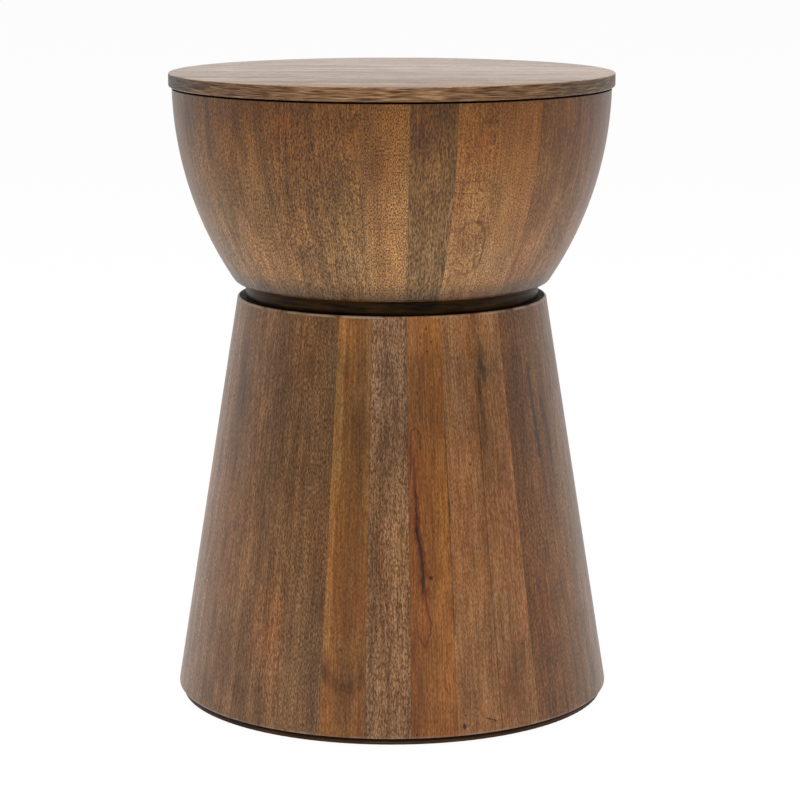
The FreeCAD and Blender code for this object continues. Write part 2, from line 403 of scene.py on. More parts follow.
boardStep = (0.371, 0.533, 1.7)  # how far apart in the figure one board is cut from the next
plainFigure = {
    "wander": 0.012, "streak": 0.55, "cloud": 0.40, "pores": 0.30, "ripple": 0.10, "drift": 0.6,
    "joint": 0.5, "shine": 0.22, "lacquer": (0.32, 0.28), "gloss": (0.40, 0.50), "relief": 0.25,
    # fades holds painted light and shade, tinted by height
    "endGrain": 0.0, "fades": (), "marks": (), "edges": (),
}

# tones painted over the wood, and tones multiplied into it
paints = {
    "pitch": (0.015, 0.008, 0.004),
    "rust": (0.105, 0.027, 0.009),
    "glue": (0.022, 0.013, 0.008),
    "glintWorn": (0.42, 0.30, 0.21),
}
stains = {
    "warm": (1.14, 0.97, 0.84),
    "sawn": (0.28, 0.27, 0.27),
    "russet": (0.80, 0.52, 0.42),
    "smoke": (0.50, 0.54, 0.60),
    "shade": (0.66, 0.60, 0.55),
    "dim": (0.70, 0.68, 0.66),
    "mist": (0.92, 1.00, 1.22),
    "blush": (1.20, 1.00, 0.88),
    "gold": (1.18, 1.06, 0.82),
    "rose": (1.22, 1.20, 1.26),
    "pale": (1.24, 1.26, 1.24),
    "straw": (1.60, 1.95, 2.60),
}


def colour(values):
    return (*values, 1.0)


def spot(angle, height, halfWidth, halfHeight, tone, depth, soft=0.7, ragged=0.6, hair=False):
    # an oval knot or stain; hair breaks it up into fine dark lines
    return {"at": (angle, height), "size": (halfWidth, halfHeight), "angle": angle, "tone": tone,
            "depth": depth, "soft": soft, "ragged": ragged, "hair": hair}


def wash(angle, height, halfWidth, halfHeight, tone, depth, soft=0.95):
    # an oval that fades out almost from its middle
    return spot(angle, height, halfWidth, halfHeight, tone, depth, soft)


def stroke(points, width, tone, depth):
    # a drawn line from point to point, on the stave of its first point
    return {"path": points, "width": width, "angle": points[0][0], "tone": tone, "depth": depth}


def band(left, right, low, high, tone, depth, soft):
    # an upright band between two angles and two heights, on the stave of its middle
    return {"band": (left, right), "rise": (low, high), "angle": (left + right) / 2, "tone": tone,
            "depth": depth, "soft": soft}


def paintMark(tree, onStave, paint, mark, toGrain):
    # one mark of the figure, placed by degrees from the front and height above the floor
    if "path" in mark:
        points = [toGrain(*point) for point in mark["path"]]
        gap = 1.0
        for first, last in zip(points, points[1:]):
            reach = useGroup(tree, drawnLine, Place=onStave, From=first, To=last)["Distance"]
            gap = calc(tree, "MINIMUM", gap, reach)
        share = between(tree, gap, mark["width"], mark["width"] * 0.3)
    elif "band" in mark:
        sway = calc(tree, "SUBTRACT", cloudNoise(tree, onStave, (60.0, 12.0, 1.0), 3.0), 0.5)
        across = calc(tree, "ADD", attributeValue(tree, "across"), calc(tree, "MULTIPLY", sway, 0.35))
        left, right = mark["band"]
        soft = mark["soft"]
        share = calc(tree, "MULTIPLY", between(tree, across, left - soft, left + soft),
                     between(tree, across, right + soft, right - soft))
        low, high = (toGrain(0.0, level)[1] for level in mark["rise"])
        height = axisValue(tree, onStave, "Y")
        fade = 0.03                              # metres to each side over which an end fades
        share = calc(tree, "MULTIPLY", share, between(tree, height, low - fade, low + fade))
        share = calc(tree, "MULTIPLY", share, between(tree, height, high + fade, high - fade))
    else:
        reach = useGroup(tree, ovalMark, Place=onStave, Centre=toGrain(*mark["at"]),
                         Size=(*mark["size"], 1.0), Ragged=mark["ragged"])["Distance"]
        share = between(tree, reach, 1.0, 1.0 - mark["soft"])
        if mark["hair"]:
            hairs = cloudNoise(tree, onStave, (430.0, 14.0, 1.0), 2.0)
            share = calc(tree, "MULTIPLY", share, between(tree, hairs, 0.52, 0.60))
    share = calc(tree, "MULTIPLY", share, mark["depth"])
    if mark["tone"] in paints:
        return blend(tree, share, paint, colour(paints[mark["tone"]]))
    return blend(tree, share, paint, colour(stains[mark["tone"]]), "MULTIPLY")


def timberMaterial(name, tone, seed, toGrain=None, **own):
    light, dark, fleck, dash, fine = timberTones[tone]
    plan = {**plainFigure, **own}
    material, tree, shader = newMaterial(name)
    grainMap = tree.nodes.new("ShaderNodeUVMap")
    grainMap.uv_map = "grain"
    onStave = grainMap.outputs["UV"]
    place = vectorCalc(tree, "ADD", onStave, [seed * step for step in boardStep])
    figure = useGroup(tree, timberFigure, Place=place, Wander=plan["wander"], Dash=dash)
    # broad streaks and clouds between the light and the dark tone
    share = calc(tree, "MULTIPLY", between(tree, figure["Streak"], 0.32, 0.68), plan["streak"])
    clouds = calc(tree, "MULTIPLY", between(tree, figure["Cloud"], 0.33, 0.67), plan["cloud"])
    share = calc(tree, "ADD", share, clouds)
    share = calc(tree, "ADD", share, calc(tree, "MULTIPLY", figure["Ripple"], plan["ripple"]), clamp=True)
    paint = blend(tree, share, colour(light), colour(dark))
    warm = calc(tree, "MULTIPLY", between(tree, figure["Drift"], 0.38, 0.66), plan["drift"])
    paint = blend(tree, warm, paint, colour(stains["warm"]), "MULTIPLY")
    # fine lines, flecks and open pores
    paleLine = colour([1.0 + fine * part for part in fibreTint])
    darkLine = colour([1.0 - fine * part for part in fibreTint])
    lines = blend(tree, between(tree, figure["Fine"], 0.3, 0.7), paleLine, darkLine)
    paint = blend(tree, 1.0, paint, lines, "MULTIPLY")
    paleDash = colour([1.0 + fleck * part for part in paleFleck])
    darkDash = colour([(1.0 - fleck) * part for part in darkFleck])
    flecks = blend(tree, between(tree, figure["Fleck"], 0.3, 0.7), paleDash, darkDash)
    paint = blend(tree, 1.0, paint, flecks, "MULTIPLY")
    poreShare = calc(tree, "MULTIPLY", figure["Pores"], plan["pores"])
    paint = blend(tree, poreShare, paint, colour([part * 0.32 for part in dark]))
    height = axisValue(tree, objectPlace(tree), "Z")
    for low, high, lowTint, highTint in plan["fades"]:     # painted light and shade that change with height
        tint = blend(tree, between(tree, height, low, high), colour(lowTint), colour(highTint))
        paint = blend(tree, 1.0, paint, tint, "MULTIPLY")
    for mark in plan["marks"]:
        paint = paintMark(tree, onStave, paint, mark, toGrain)
    # glue line along both edges of the stave
    if plan["joint"] > 0.0:
        nearEdge = between(tree, calc(tree, "ABSOLUTE", attributeValue(tree, "across")), 0.965, 0.995)
        breaks = between(tree, cloudNoise(tree, place, (5.0, 42.0, 1.0), 2.0), 0.38, 0.62)
        glue = calc(tree, "MULTIPLY", calc(tree, "MULTIPLY", nearEdge, breaks), plan["joint"])
        paint = blend(tree, glue, paint, colour(paints["glue"]))
    for level, width, depth in plan["edges"]:
        glintWearShare = useGroup(tree, glintWearEdge, Height=height, Edge=level, Width=width)["GlintWear"]
        paint = blend(tree, calc(tree, "MULTIPLY", glintWearShare, depth), paint, colour(paints["glintWorn"]))
    gloss = between(tree, figure["Fine"], 0.25, 0.75, *plan["gloss"])
    gloss = calc(tree, "ADD", gloss, calc(tree, "MULTIPLY", poreShare, 0.15))
    if plan["endGrain"] > 0.0:                   # sawn ends are darker and take less polish
        sawn = calc(tree, "MULTIPLY", attributeValue(tree, "endGrain"), plan["endGrain"])
        paint = blend(tree, sawn, paint, colour(stains["sawn"]), "MULTIPLY")
        gloss = calc(tree, "ADD", gloss, calc(tree, "MULTIPLY", sawn, 0.2))
    feed(tree, shader.inputs["Base Color"], paint)
    feed(tree, shader.inputs["Roughness"], gloss)
    shader.inputs["Specular IOR Level"].default_value = plan["shine"]
    feed(tree, shader.inputs["Coat Weight"], between(tree, share, 0.0, 1.0, *plan["lacquer"]))
    shader.inputs["Coat Roughness"].default_value = lacquerRoughness
    grainHeight = calc(tree, "SUBTRACT", calc(tree, "MULTIPLY", figure["Fine"], 0.4), poreShare)
    addRelief(tree, shader, grainHeight, plan["relief"], 0.0004)
    return material


def stainMaterial(name, light, dark, roughness, shine, lacquer=0.0, paintedShadowAbove=None):
    material, tree, shader = newMaterial(name)
    coord = objectPlace(tree)
    streaks = cloudNoise(tree, coord, (26.0, 26.0, 420.0), 4.0, 0.6)
    clouds = cloudNoise(tree, coord, (48.0, 48.0, 60.0), 3.0)
    share = calc(tree, "MULTIPLY", between(tree, streaks, 0.34, 0.66), 0.7)
    share = calc(tree, "ADD", share, calc(tree, "MULTIPLY", between(tree, clouds, 0.35, 0.65), 0.3))
    paint = blend(tree, share, colour(light), colour(dark))
    if paintedShadowAbove:                                # painted shadow above, under the overhang of the base staves; the stain's own tone below
        paintedShadow = colour([part * 0.3 for part in dark])
        paint = blend(tree, between(tree, axisValue(tree, coord, "Z"), *paintedShadowAbove), paint, paintedShadow)
    feed(tree, shader.inputs["Base Color"], paint)
    feed(tree, shader.inputs["Roughness"], between(tree, streaks, 0.3, 0.7, roughness, roughness + 0.14))
    shader.inputs["Specular IOR Level"].default_value = shine
    shader.inputs["Coat Weight"].default_value = lacquer
    shader.inputs["Coat Roughness"].default_value = lacquerRoughness
    addRelief(tree, shader, streaks, 0.3, 0.0003)
    return material


def rawMaterial(name, light, dark):
    material, tree, shader = newMaterial(name)
    coord = objectPlace(tree)
    saw = cloudNoise(tree, coord, (40.0, 40.0, 6.0), 4.0, 0.65)
    fibre = cloudNoise(tree, coord, (520.0, 520.0, 30.0), 2.0)
    paint = blend(tree, between(tree, saw, 0.3, 0.7), colour(light), colour(dark))
    paint = blend(tree, 1.0, paint, between(tree, fibre, 0.3, 0.7, 1.08, 0.84), "MULTIPLY")
    feed(tree, shader.inputs["Base Color"], paint)
    feed(tree, shader.inputs["Roughness"], between(tree, fibre, 0.3, 0.7, 0.66, 0.82))
    shader.inputs["Specular IOR Level"].default_value = 0.25
    addRelief(tree, shader, fibre, 0.35, 0.0004)
    return material


def zincMaterial(name, light, dark):
    material, tree, shader = newMaterial(name)
    spangle = cloudNoise(tree, objectPlace(tree), (700.0, 700.0, 700.0), 3.0)
    paint = blend(tree, between(tree, spangle, 0.3, 0.7), colour(light), colour(dark))
    feed(tree, shader.inputs["Base Color"], paint)
    feed(tree, shader.inputs["Roughness"], between(tree, spangle, 0.3, 0.7, 0.28, 0.44))
    shader.inputs["Metallic"].default_value = 1.0
    return material


def feltMaterial(name, light, dark):
    material, tree, shader = newMaterial(name)
    coord = objectPlace(tree)
    tangle = cloudNoise(tree, coord, (1300.0, 1300.0, 1300.0), 4.0, 0.7)
    mottle = cloudNoise(tree, coord, (240.0, 240.0, 240.0), 2.0)
    share = calc(tree, "ADD", calc(tree, "MULTIPLY", between(tree, tangle, 0.3, 0.7), 0.7),
                 calc(tree, "MULTIPLY", mottle, 0.3))
    feed(tree, shader.inputs["Base Color"], blend(tree, share, colour(light), colour(dark)))
    feed(tree, shader.inputs["Roughness"], between(tree, tangle, 0.3, 0.7, 0.88, 0.98))
    shader.inputs["Sheen Weight"].default_value = 0.4
    addRelief(tree, shader, tangle, 0.6, 0.0005)
    return material


neckStain = stainMaterial("neckStain", (0.056, 0.0225, 0.0012), (0.003, 0.0012, 0.0003), 0.34, 0.05, 0.07)
# dark stain on the foot ring, with painted shadow on its upper part
footStainAndShadow = stainMaterial("footStainAndShadow", (0.115, 0.050, 0.020), (0.032, 0.014, 0.006), 0.42, 0.08, 0.0,
                          (0.0030, 0.0050))
# near-black: stain and painted shade on the upper ends of the base staves under the bowl, painted shade in
# the bowl's groove under the top
ledgeStainGrooveShade = stainMaterial("ledgeStainGrooveShade", (0.008, 0.006, 0.004), (0.003, 0.0025, 0.002), 0.55, 0.1)
rawStave = rawMaterial("rawStave", (0.34, 0.20, 0.11), (0.20, 0.11, 0.055))
rawBoard = rawMaterial("rawBoard", (0.52, 0.36, 0.21), (0.36, 0.23, 0.12))
screwZinc = zincMaterial("screwZinc", (0.62, 0.62, 0.60), (0.42, 0.42, 0.41))
greyFelt = feltMaterial("greyFelt", (0.20, 0.19, 0.18), (0.10, 0.095, 0.09))
print("plain materials ready")


# base staves

baseStaves = {
    "name": "baseStave",
    "node": "base_stave",
    "perNode": 1,
    "count": 30,
    "seed": 3.0,                 # figure of the first stave
    "firstJoint": 5.0,           # degrees from the front to the first joint
    "lowRadius": 0.2005,
    "rimRadius": 0.142,
    "wall": 0.02,
    "lowRound": 0.0030,
    "rimRound": 0.0016,
    # pale lines at the rim and the lower end: painted highlight on the rounded edges, and rubbed finish
    "rimGlintWear": (0.0006, 0.0018, 0.75),     # how far below the rim, how wide and how strong
    "lowGlintWear": (0.0014, 0.0014, 0.30),     # how far above the lower end
    "fades": [                   # painted shading: two heights and the tint at each
        # painted shade, darker towards the top of the cone under the bowl
        (0.160, 0.290, (0.95, 0.93, 0.82), (0.79, 0.81, 0.79)),
        # painted light along the upper rim of the cone
        (0.330, 0.352, (1.00, 1.00, 1.00), (1.24, 1.21, 1.16)),
    ],
    "markRadius": 0.170,         # radius at which a stain's width is counted
    "steps": 8,
}


def modelBaseStave(plan):
    low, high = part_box("base_stave_01")
    bottom, top = low[2], high[2]
    slope = math.atan2(plan["lowRadius"] - plan["rimRadius"], top - bottom)
    across = plan["wall"] / math.cos(slope)
    innerLow = (plan["lowRadius"] - across, bottom)
    innerHigh = (plan["rimRadius"] - across, top)
    outerLow = (plan["lowRadius"], bottom)
    outerHigh = (plan["rimRadius"], top)
    spare = plan["wall"]
    corners = [(innerLow[0] - spare, bottom), outerLow, outerHigh, (innerHigh[0] - spare, top)]
    piece = sectionFace("baseStaveBlank", corners)
    roundCorner(piece, outerLow, plan["lowRound"])
    roundCorner(piece, outerHigh, plan["rimRound"], 3)
    turn = 360.0 / plan["count"]
    spinWedge(piece, turn, plan["steps"])
    planeInside(piece, innerLow, innerHigh)
    tidyMesh(piece)
    layGrain(piece, math.radians(turn) / 2, lambda radius, height: height)

    def toGrain(offset, height):
        share = (height - bottom) / (top - bottom)
        radius = plan["lowRadius"] + (plan["rimRadius"] - plan["lowRadius"]) * share
        return math.radians(offset) * radius, height, 0.0

    return piece, bottom, top, toGrain


def slotFaces(piece, bottom, top, groove=0.0):
    # 0 show face, 1 upper end and shadow groove, painted near-black as stain and shade, 2 inner face and
    # lower end
    flat = 0.99                                  # upward share of the normal of a level face
    inward = -0.02
    near = 0.00015
    for face in piece.data.polygons:
        outward = face.normal.x * face.center.x + face.normal.y * face.center.y
        if face.center.z > top - groove - near and (groove > 0.0 or face.normal.z > flat):
            face.material_index = 1
        elif outward < inward or (face.normal.z < -flat and face.center.z < bottom + near):
            face.material_index = 2


def stavesUnder(plan, left, right):
    # number of each stave between two angles, and the angle of its middle
    turn = 360.0 / plan["count"]
    first, last = (math.floor((angle - plan["firstJoint"]) / turn) for angle in (left, right))
    return [(number % plan["count"], plan["firstJoint"] + (number + 0.5) * turn)
            for number in range(first, last + 1)]


def sortMarks(plan, marks):
    # marks of each stave, with their angles counted from its middle
    onStaves = {}
    for mark in marks:
        half = 0.0
        if "at" in mark:                         # a broad stain runs on over the joints
            half = math.degrees(mark["size"][0] / plan["markRadius"])
        for index, middle in stavesUnder(plan, mark["angle"] - half, mark["angle"] + half):
            own = dict(mark)
            if "at" in mark:
                own["at"] = (mark["at"][0] - middle, mark["at"][1])
            elif "path" in mark:
                own["path"] = [(degrees - middle, height) for degrees, height in mark["path"]]
            else:
                own["band"] = [(degrees - middle) * plan["count"] / 180.0 for degrees in mark["band"]]
            onStaves.setdefault(index, []).append(own)
    return onStaves


def buildStaves(plan, blank, toGrain, tones, marks, **figure):
    pieces = []
    turn = 360.0 / plan["count"]
    onStaves = sortMarks(plan, marks)
    for index in range(plan["count"]):
        name = f"{plan['name']}{index + 1:02d}"
        piece = placeCopy(blank, name, plan["firstJoint"] + (index + 0.5) * turn)
        wood = timberMaterial(name + "Wood", tones[index], plan["seed"] + index, toGrain,
                              fades=plan["fades"], marks=onStaves.get(index, ()), **figure)
        for finish in (wood, ledgeStainGrooveShade, rawStave):
            piece.data.materials.append(finish)
        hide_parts(f"{plan['node']}_{index // plan['perNode'] + 1:02d}")
        pieces.append(piece)
    return pieces


baseBlank, baseBottom, baseTop, baseGrain = modelBaseStave(baseStaves)
slotFaces(baseBlank, baseBottom, baseTop)

# timber of each stave from the joint right of the front, round the table
baseToneOrder = ["honey", "tan", "wheat", "plum", "dusk", "brown", "umber", "tan", "ash", "honey",
                 "plum", "tan", "umber", "amber", "brown", "ash", "honey", "wheat", "umber", "amber",
                 "tan", "plum", "wheat", "ash", "brown", "brown", "brown", "umber", "amber", "ash"]

# knots, lines and stains: degrees from the front, metres above the floor
baseMarks = [
    stroke([(5.7, 0.238), (5.7, 0.267), (6.2, 0.2745), (7.3, 0.277), (8.4, 0.2745), (8.9, 0.270),
            (8.8, 0.258)], 0.0011, "rust", 0.85),
    band(5.2, 8.6, 0.200, 0.268, "russet", 0.4, 0.14),
    stroke([(6.7, 0.251), (6.9, 0.230), (7.4, 0.210), (7.3, 0.186)], 0.0022, "rust", 0.85),
    stroke([(7.0, 0.222), (7.3, 0.188)], 0.0014, "pitch", 0.6),
    stroke([(7.2, 0.200), (7.7, 0.180), (8.4, 0.168), (8.8, 0.152),
            (8.9, 0.132)], 0.0058, "russet", 0.85),
    stroke([(7.3, 0.190), (7.7, 0.180), (8.4, 0.170), (8.8, 0.153), (8.8, 0.135)], 0.0024, "pitch", 0.85),
    stroke([(9.2, 0.134), (10.4, 0.113), (10.0, 0.098), (8.9, 0.087)], 0.0044, "russet", 0.5),
    stroke([(7.4, 0.196), (8.4, 0.182), (9.2, 0.165)], 0.0014, "rust", 0.7),
    stroke([(9.0, 0.137), (9.6, 0.126), (10.0, 0.115), (10.9, 0.107), (10.4, 0.099), (8.9, 0.0865),
            (7.3, 0.095), (6.6, 0.102)], 0.0012, "rust", 0.85),
    spot(11.0, 0.1465, 0.0025, 0.0028, "pitch", 0.97),
    spot(10.7, 0.133, 0.0010, 0.0014, "rust", 0.8),
    band(4.8, 6.3, 0.0, 0.110, "russet", 0.45, 0.12),
    wash(14.6, 0.285, 0.011, 0.050, "smoke", 0.35),
    # painted light along the top of the cone
    wash(11.0, 0.368, 0.018, 0.026, "rose", 0.8, 0.9),
    wash(22.0, 0.368, 0.018, 0.022, "rose", 0.6, 0.9),
    wash(36.0, 0.368, 0.018, 0.022, "rose", 0.8, 0.9),
    wash(23.5, 0.275, 0.016, 0.045, "smoke", 0.22),
    wash(22.5, 0.070, 0.018, 0.060, "pale", 0.4),
    wash(35.0, 0.322, 0.020, 0.018, "smoke", 0.45),
    wash(0.0, 0.105, 0.014, 0.055, "rose", 0.6),
    wash(1.5, 0.260, 0.010, 0.060, "dim", 0.3),
    spot(6.3, 0.0110, 0.0016, 0.0016, "pitch", 0.92),
    spot(13.5, 0.3508, 0.0012, 0.0015, "pitch", 0.85),
    spot(12.1, 0.3427, 0.0014, 0.0015, "pitch", 0.9),
    spot(12.0, 0.3620, 0.0014, 0.0014, "pitch", 0.85),
    spot(9.9, 0.3545, 0.0011, 0.0024, "rust", 0.9),
    stroke([(17.2, 0.290), (17.2, 0.200), (17.2, 0.095)], 0.0008, "pitch", 0.55),
    stroke([(17.4, 0.214), (17.3, 0.194)], 0.0010, "pitch", 0.6),
    spot(18.7, 0.0155, 0.0028, 0.0040, "pitch", 0.98),
    spot(19.1, 0.0250, 0.0013, 0.0012, "pitch", 0.85),
    stroke([(24.8, 0.0205), (26.0, 0.0195), (27.5, 0.0172)], 0.0010, "pitch", 0.8),
    spot(25.1, 0.2736, 0.0012, 0.0014, "pitch", 0.8),
    spot(25.3, 0.2613, 0.0012, 0.0018, "pitch", 0.9),
    spot(25.0, 0.2424, 0.0015, 0.0015, "pitch", 0.9),
    stroke([(29.2, 0.285), (29.2, 0.150), (29.2, 0.002)], 0.0009, "pitch", 0.6),
    spot(31.6, 0.332, 0.0062, 0.022, "smoke", 0.85, ragged=1.3),
    spot(32.8, 0.318, 0.0035, 0.015, "smoke", 0.8, ragged=1.3),
    spot(30.2, 0.302, 0.0034, 0.026, "smoke", 0.85, ragged=1.3),
    spot(30.6, 0.268, 0.0042, 0.024, "smoke", 0.55, ragged=1.3),
    spot(35.0, 0.066, 0.0100, 0.022, "smoke", 0.65, soft=0.9, ragged=1.2),
    spot(33.6, 0.045, 0.0120, 0.020, "shade", 0.45, soft=0.9, ragged=1.2),
    spot(37.8, 0.0803, 0.0017, 0.0014, "pitch", 0.92),
    spot(38.7, 0.1285, 0.0008, 0.0026, "rust", 0.85),
    spot(35.1, 0.3610, 0.0014, 0.0016, "rust", 0.9),
    band(39.2, 41.6, 0.02, 0.33, "pale", 0.7, 0.12),
    band(40.6, 48.5, 0.19, 0.40, "shade", 0.5, 0.25),
    wash(47.0, 0.120, 0.019, 0.060, "gold", 0.95, 0.9),
    wash(46.5, 0.025, 0.017, 0.022, "smoke", 0.35),
    stroke([(53.4, 0.322), (53.5, 0.309), (53.8, 0.285), (54.1, 0.262),
            (54.5, 0.240)], 0.0044, "pitch", 0.72),
    stroke([(55.0, 0.248), (55.8, 0.190), (57.6, 0.109), (59.4, 0.034)], 0.0020, "pitch", 0.45),
    stroke([(59.3, 0.288), (60.2, 0.272), (61.3, 0.246), (62.2, 0.208)], 0.0042, "smoke", 0.85),
    band(-6.9, -4.3, 0.0, 0.20, "smoke", 0.6, 0.14),
    band(-19.6, -16.0, 0.235, 0.42, "straw", 0.72, 0.10),
    band(-19.6, -17.2, 0.070, 0.240, "straw", 0.58, 0.10),
    band(-8.8, -6.6, 0.20, 0.42, "straw", 0.25, 0.12),
    band(-13.0, -7.6, 0.15, 0.30, "shade", 0.58, 0.25),
    # painted light at the top of the cone
    wash(-16.5, 0.366, 0.013, 0.026, "rose", 0.95, 0.9),
    wash(-12.0, 0.345, 0.014, 0.040, "pale", 0.6),
    stroke([(-18.8, 0.076), (-17.6, 0.061), (-14.2, 0.051), (-10.6, 0.051),
            (-7.4, 0.060)], 0.0085, "shade", 0.9),
    wash(-12.0, 0.018, 0.018, 0.028, "mist", 0.7),
    wash(-17.0, 0.022, 0.012, 0.022, "pale", 1.0, 0.9),
    spot(-18.2, 0.3514, 0.0014, 0.0016, "rust", 0.92),
    spot(-13.8, 0.0832, 0.0014, 0.0014, "pitch", 0.92),
    spot(-13.9, 0.0619, 0.0009, 0.0009, "pitch", 0.85),
    spot(-18.3, 0.0640, 0.0034, 0.0090, "smoke", 0.9),
    band(-23.0, -19.0, 0.0, 0.40, "smoke", 0.42, 0.3),
    band(-42.8, -38.0, 0.20, 0.42, "shade", 0.65, 0.3),
    wash(-40.5, 0.185, 0.008, 0.030, "smoke", 0.4),
    wash(-35.5, 0.065, 0.024, 0.055, "rose", 1.0),
    wash(-49.0, 0.022, 0.022, 0.022, "rose", 0.7),
    wash(-37.0, 0.100, 0.028, 0.070, "blush", 0.7),
    wash(-25.0, 0.318, 0.018, 0.066, "pale", 1.0, 0.9),
    wash(-25.0, 0.070, 0.016, 0.060, "smoke", 0.25),
    spot(-44.6, 0.034, 0.0085, 0.022, "dim", 0.9, soft=0.9, ragged=0.9),
    wash(-49.0, 0.320, 0.018, 0.060, "shade", 0.25),
    wash(59.0, 0.060, 0.024, 0.060, "shade", 0.28),
    wash(23.0, 0.300, 0.017, 0.080, "mist", 0.8),
    wash(60.5, 0.320, 0.020, 0.060, "blush", 0.6),
    spot(96.0, 0.212, 0.0026, 0.0034, "pitch", 0.95),
    stroke([(95.2, 0.250), (95.6, 0.225), (96.4, 0.205), (97.2, 0.182)], 0.0016, "rust", 0.7),
    spot(128.0, 0.095, 0.0020, 0.0024, "pitch", 0.9),
    stroke([(150.6, 0.330), (150.9, 0.262), (151.3, 0.190)], 0.0014, "pitch", 0.55),
    band(161.2, 165.0, 0.05, 0.36, "straw", 0.5, 0.12),
    wash(176.0, 0.290, 0.014, 0.050, "smoke", 0.45),
    spot(190.5, 0.060, 0.0022, 0.0030, "pitch", 0.95),
    stroke([(205.4, 0.120), (206.0, 0.085), (207.0, 0.050)], 0.0018, "rust", 0.75),
    spot(222.0, 0.330, 0.0016, 0.0018, "pitch", 0.9),
    band(233.5, 237.0, 0.0, 0.25, "russet", 0.4, 0.2),
    wash(250.0, 0.150, 0.016, 0.045, "shade", 0.5),
    wash(-59.5, 0.300, 0.014, 0.050, "smoke", 0.4),
]


# heights of the pale edge lines: painted highlight on the rounded edges, and rubbed finish
def glintWornEdges(plan, bottom, top):
    below, rimWidth, rimDepth = plan["rimGlintWear"]
    above, lowWidth, lowDepth = plan["lowGlintWear"]
    return [(top - below, rimWidth, rimDepth), (bottom + above, lowWidth, lowDepth)]


basePieces = buildStaves(baseStaves, baseBlank, baseGrain, baseToneOrder, baseMarks,
                         edges=glintWornEdges(baseStaves, baseBottom, baseTop))
discard(baseBlank)
print("base staves", len(basePieces))


# bowl staves

bowlStaves = {
    "name": "bowlStave",
    "node": "bowl_stave_pair",
    "perNode": 2,
    "count": 30,
    "seed": 51.0,
    "firstJoint": 4.4,
    "mouthRadius": 0.200,
    "waistRadius": 0.143,
    "bulgeRadius": 0.326,
    "wall": 0.016,
    "lowRound": 0.0042,          # how far the lower corner is rounded along each side
    "grooveHeight": 0.0019,      # shadow gap under the top
    "grooveDepth": 0.0034,
    "fades": [                   # painted shading: two heights and the tint at each
        # painted light from below, lighter on the lower bowl and darker towards its top
        (0.400, 0.560, (1.16, 1.21, 1.10), (0.76, 0.59, 0.17)),
        # painted shade along the lower edge by the neck
        (0.386, 0.407, (0.40, 0.40, 0.48), (1.00, 1.00, 1.00)),
        # painted shade just under the rim of the top
        (0.505, 0.562, (1.00, 1.00, 1.00), (0.83, 0.80, 0.72)),
    ],
    "figure": {"joint": 0.25, "streak": 0.40, "cloud": 0.50},
    "markRadius": 0.185,
    "curveCuts": 26,
    "steps": 8,
}


def modelBowlStave(plan):
    low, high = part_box("bowl_stave_pair_01")
    bottom, top = low[2], high[2]
    waist = Vector((plan["waistRadius"], bottom))
    mouth = Vector((plan["mouthRadius"], top))
    chord = mouth - waist
    inward = Vector((-chord.y, chord.x)).normalized()
    rise = math.sqrt(plan["bulgeRadius"] ** 2 - (chord.length / 2) ** 2)
    centre = (mouth + waist) / 2 + inward * rise
    lip = Vector((mouth.x, top - plan["grooveHeight"]))
    notch = mouth.x - plan["grooveDepth"]
    innerLow = (waist.x - plan["wall"], bottom)
    innerHigh = (mouth.x - plan["wall"], top)
    spare = plan["wall"]
    corners = [(innerLow[0] - spare, bottom), tuple(waist), tuple(lip), (notch, lip.y), (notch, top),
               (innerHigh[0] - spare, top)]
    piece = sectionFace("bowlStaveBlank", corners)
    openMesh(piece, "EDGE")
    sideEnds = [Vector((end.x, 0.0, end.y)) for end in (waist, lip)]
    pickEdges(piece, lambda place: any((place - end).length < touch for end in sideEnds))
    bpy.ops.mesh.subdivide(number_cuts=plan["curveCuts"])
    closeMesh()
    for vert in piece.data.vertices:             # swell the outer side onto its arc
        if waist.x + touch < vert.co.x < lip.x - touch and bottom + touch < vert.co.z < lip.y - touch:
            vert.co.x = centre.x + math.sqrt(plan["bulgeRadius"] ** 2 - (vert.co.z - centre.y) ** 2)
    roundCorner(piece, tuple(waist), plan["lowRound"], 6)
    turn = 360.0 / plan["count"]
    spinWedge(piece, turn, plan["steps"])
    planeInside(piece, innerLow, innerHigh)
    tidyMesh(piece)

    def alongArc(radius, height):
        return plan["bulgeRadius"] * math.atan2(height - centre.y, radius - centre.x)

    layGrain(piece, math.radians(turn) / 2, alongArc)

    def toGrain(offset, height):
        radius = centre.x + math.sqrt(plan["bulgeRadius"] ** 2 - (height - centre.y) ** 2)
        return math.radians(offset) * radius, alongArc(radius, height), 0.0

    return piece, bottom, top, toGrain


bowlBlank, bowlBottom, bowlTop, bowlGrain = modelBowlStave(bowlStaves)
slotFaces(bowlBlank, bowlBottom, bowlTop, bowlStaves["grooveHeight"])

bowlToneOrder = ["olive", "orange", "orange", "fawn", "dusk", "brown", "umber", "orange", "stipple",
                 "copper", "olive", "orange", "stipple", "fawn", "copper", "orange", "olive", "stipple",
                 "fawn", "copper", "orange", "olive", "stipple", "brown", "stipple", "stipple", "stipple",
                 "stipple", "stipple", "copper"]

